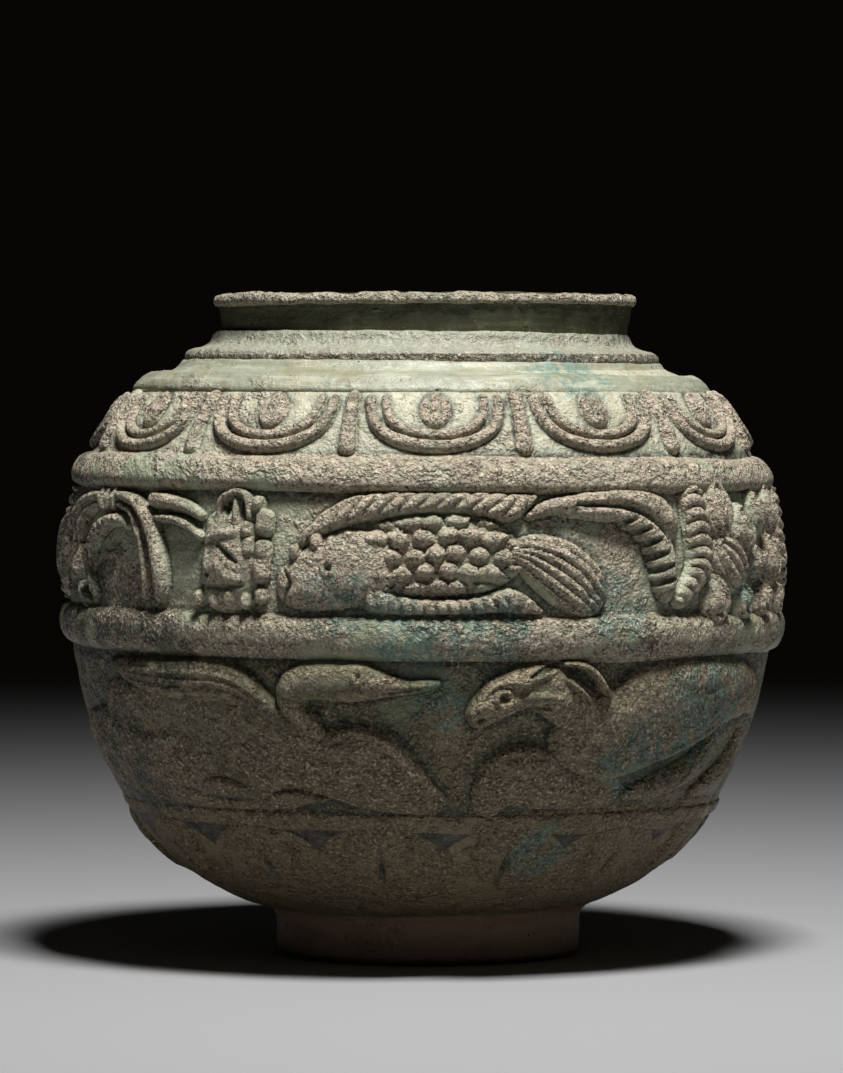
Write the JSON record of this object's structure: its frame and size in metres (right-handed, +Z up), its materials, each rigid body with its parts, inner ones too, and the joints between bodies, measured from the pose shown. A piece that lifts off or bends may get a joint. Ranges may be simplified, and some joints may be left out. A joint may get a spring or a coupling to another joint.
{
  "type": "faience jar",
  "caption": "Round fritware jar with a foot ring, swelling body, short wide neck and moulded relief friezes of a fish, leaves, a duck and a horse between raised bands.",
  "frame": {"origin": "centre of the jar's standing plane, on its axis", "axes": "+Z up along the jar's axis; -Y towards the front, where the fish is; +X to the right of it"},
  "size_m": [0.2036, 0.2034, 0.184],
  "materials": {
    "wall_glaze": "worn matt green-grey alkaline glaze over sandy faience body",
    "moulding_glaze": "pale green glaze, rubbed on the edges of the mouldings",
    "relief_paste": "worn warm grey-brown faience paste with dark pits",
    "lower_glaze": "olive-brown stained worn glaze"
  },
  "bodies": {
    "root": {"foot_ring": "lower_glaze", "base_bowl": "lower_glaze", "lower_wall": "wall_glaze", "upper_wall": "wall_glaze", "shoulder": "wall_glaze", "neck": "wall_glaze", "rim_lip": "wall_glaze", "ground_band": "lower_glaze", "waist_band": "moulding_glaze", "upper_band": "moulding_glaze", "shoulder_ring": "moulding_glaze", "collar_ring": "moulding_glaze", "egg_frames": "relief_paste", "egg_cores": "relief_paste", "egg_hearts": "relief_paste", "egg_darts": "relief_paste", "garland_ribbons": "relief_paste", "garland_wreaths": "relief_paste", "garland_knots": "relief_paste", "beast_heads": "relief_paste", "beast_horns": "relief_paste", "fish_bodies": "relief_paste", "fish_heads": "relief_paste", "fish_back_fins": "relief_paste", "fish_belly_fins": "relief_paste", "fish_tails": "relief_paste", "crescent_leaves": "relief_paste", "plaited_stems": "relief_paste", "cone_clusters": "relief_paste", "duck_bodies": "relief_paste", "duck_wings": "relief_paste", "duck_heads": "relief_paste", "duck_feet": "relief_paste", "horse_bodies": "relief_paste", "horse_heads": "relief_paste", "horse_legs": "relief_paste", "petals_row": "lower_glaze"}
  },
  "joints": []
}
